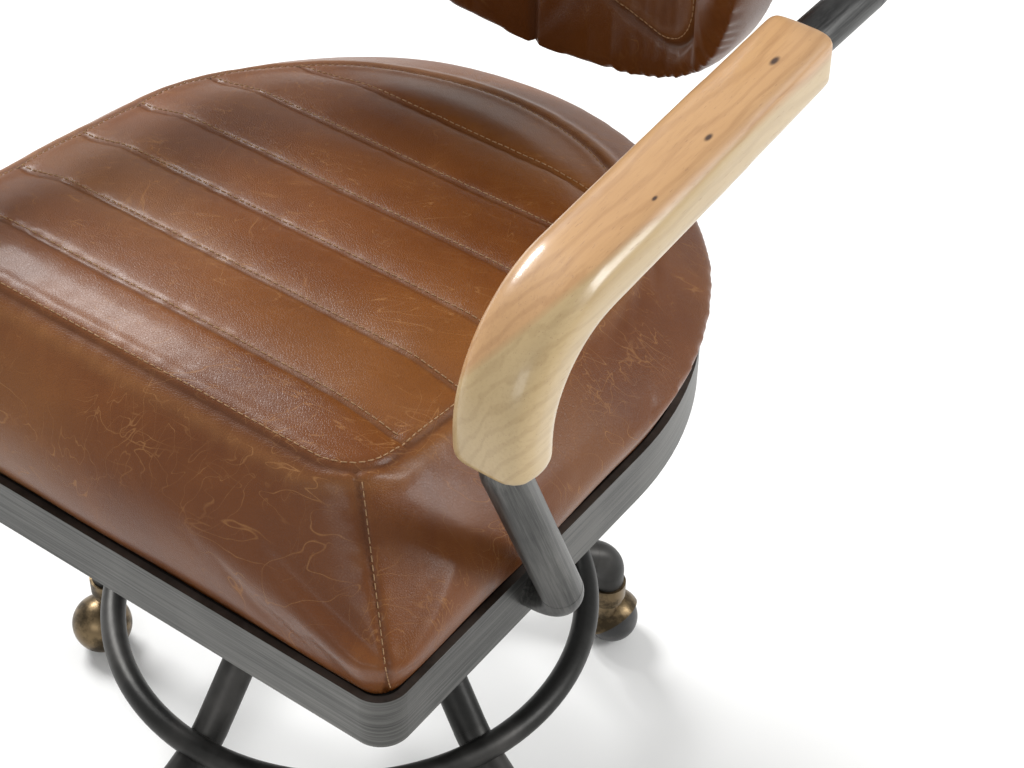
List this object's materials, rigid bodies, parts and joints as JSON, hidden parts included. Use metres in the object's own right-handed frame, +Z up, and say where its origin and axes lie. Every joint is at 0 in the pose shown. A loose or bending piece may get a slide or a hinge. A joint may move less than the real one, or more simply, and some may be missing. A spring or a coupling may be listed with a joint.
{
  "type": "swivel desk chair",
  "caption": "Swivel desk chair with a channelled leather seat in a flat metal band, bent tube arms with wooden grips, a curved padded back, tube legs with a foot ring and ball casters.",
  "frame": {"origin": "on the floor, in the middle of the chair's width and depth; the lift column's axis is 27.25 mm in front of it", "axes": "+Z up, the front of the seat towards -Y, the sitter's left towards +X"},
  "size_m": [0.5842, 0.5624, 0.835],
  "materials": {
    "blackened_steel": "satin",
    "antique_brass": "aged",
    "plain_steel": "satin",
    "black_plastic": "matte",
    "brass": "satin",
    "black_paint": "matte",
    "black_board": "painted plywood",
    "brushed_gunmetal": "brushed",
    "cognac_leather": "semi-gloss",
    "light_wood": "satin varnish",
    "black_tyre": "satin"
  },
  "bodies": {
    "base": {"hub": "blackened_steel", "foot_ring": "blackened_steel", "outer_tube": "blackened_steel", "guide_bush": "black_plastic", "thrust_washer": "brass", "leg_ferrules": "antique_brass", "caster_stems": "plain_steel", "leg_1": "blackened_steel", "leg_2": "blackened_steel", "leg_3": "blackened_steel", "leg_4": "blackened_steel", "leg_5": "blackened_steel"},
    "lift_rod": {"piston_rod": "plain_steel", "retaining_clip": "plain_steel"},
    "valve": {"valve_button": "brass"},
    "lever": {"height_lever": "plain_steel", "lever_knob": "black_plastic"},
    "seat": {"gas_cylinder": "black_paint", "swivel_plate": "black_paint", "plate_bolts": "plain_steel", "lever_pin": "plain_steel", "seat_frame": "brushed_gunmetal", "front_cross_bar": "brushed_gunmetal", "rear_cross_bar": "brushed_gunmetal", "seat_board": "black_board", "seat_screws": "plain_steel", "seat_cushion": "cognac_leather", "left_arm_post": "brushed_gunmetal", "right_arm_post": "brushed_gunmetal", "left_wood_arm": "light_wood", "right_wood_arm": "light_wood", "back_hoop": "brushed_gunmetal", "back_standoffs": "brushed_gunmetal", "back_bolts": "plain_steel", "back_shell": "cognac_leather", "back_cushion": "cognac_leather"},
    "caster_1": {"caster_hood_1": "antique_brass", "caster_axle_1": "plain_steel"},
    "wheel_1": {"caster_wheel_1": "black_tyre"},
    "caster_2": {"caster_hood_2": "antique_brass", "caster_axle_2": "plain_steel"},
    "wheel_2": {"caster_wheel_2": "black_tyre"},
    "caster_3": {"caster_hood_3": "antique_brass", "caster_axle_3": "plain_steel"},
    "wheel_3": {"caster_wheel_3": "black_tyre"},
    "caster_4": {"caster_hood_4": "antique_brass", "caster_axle_4": "plain_steel"},
    "wheel_4": {"caster_wheel_4": "black_tyre"},
    "caster_5": {"caster_hood_5": "antique_brass", "caster_axle_5": "plain_steel"},
    "wheel_5": {"caster_wheel_5": "black_tyre"}
  },
  "joints": [
    {"name": "seat_swivel", "type": "hinge", "parent": "base", "child": "lift_rod", "pos_m": [0, -0.02725, 0.1], "axis": [0, 0, 1], "continuous": true},
    {"name": "seat_height", "type": "slide", "parent": "lift_rod", "child": "seat", "axis": [0, 0, 1], "range_m": [-0.03, 0.05]},
    {"name": "lever_lift", "type": "hinge", "parent": "seat", "child": "lever", "pos_m": [-0.026, -0.02725, 0.3768], "axis": [0, 1, 0], "range_deg": [0, 4], "stiffness_Nm_per_rad": 2},
    {"name": "valve_press", "type": "slide", "parent": "seat", "child": "valve", "axis": [0, 0, 1], "range_m": [-0.0025, 0]},
    {"name": "caster_swivel_1", "type": "hinge", "parent": "base", "child": "caster_1", "pos_m": [0, -0.23525, 0.05], "axis": [0, 0, 1], "continuous": true},
    {"name": "wheel_roll_1", "type": "hinge", "parent": "caster_1", "child": "wheel_1", "pos_m": [0.00643, -0.24291, 0.021], "axis": [0.4924, 0.4132, 0.766], "continuous": true},
    {"name": "caster_swivel_2", "type": "hinge", "parent": "base", "child": "caster_2", "pos_m": [0.19782, -0.09153, 0.05], "axis": [0, 0, 1], "continuous": true},
    {"name": "wheel_roll_2", "type": "hinge", "parent": "caster_2", "child": "wheel_2", "pos_m": [0.20709, -0.08778, 0.021], "axis": [-0.2408, 0.596, 0.766], "continuous": true},
    {"name": "caster_swivel_3", "type": "hinge", "parent": "base", "child": "caster_3", "pos_m": [0.12226, 0.14103, 0.05], "axis": [0, 0, 1], "continuous": true},
    {"name": "wheel_roll_3", "type": "hinge", "parent": "caster_3", "child": "wheel_3", "pos_m": [0.12156, 0.151, 0.021], "axis": [-0.6412, -0.0448, 0.766], "continuous": true},
    {"name": "caster_swivel_4", "type": "hinge", "parent": "base", "child": "caster_4", "pos_m": [-0.12226, 0.14103, 0.05], "axis": [0, 0, 1], "continuous": true},
    {"name": "wheel_roll_4", "type": "hinge", "parent": "caster_4", "child": "wheel_4", "pos_m": [-0.13196, 0.14344, 0.021], "axis": [-0.1555, -0.6237, 0.766], "continuous": true},
    {"name": "caster_swivel_5", "type": "hinge", "parent": "base", "child": "caster_5", "pos_m": [-0.19782, -0.09153, 0.05], "axis": [0, 0, 1], "continuous": true},
    {"name": "wheel_roll_5", "type": "hinge", "parent": "caster_5", "child": "wheel_5", "pos_m": [-0.20312, -0.10001, 0.021], "axis": [0.5451, -0.3406, 0.766], "continuous": true}
  ],
  "couplings": [
    {"joint": "valve_press", "follows": "lever_lift", "m_per_rad": -0.028}
  ]
}
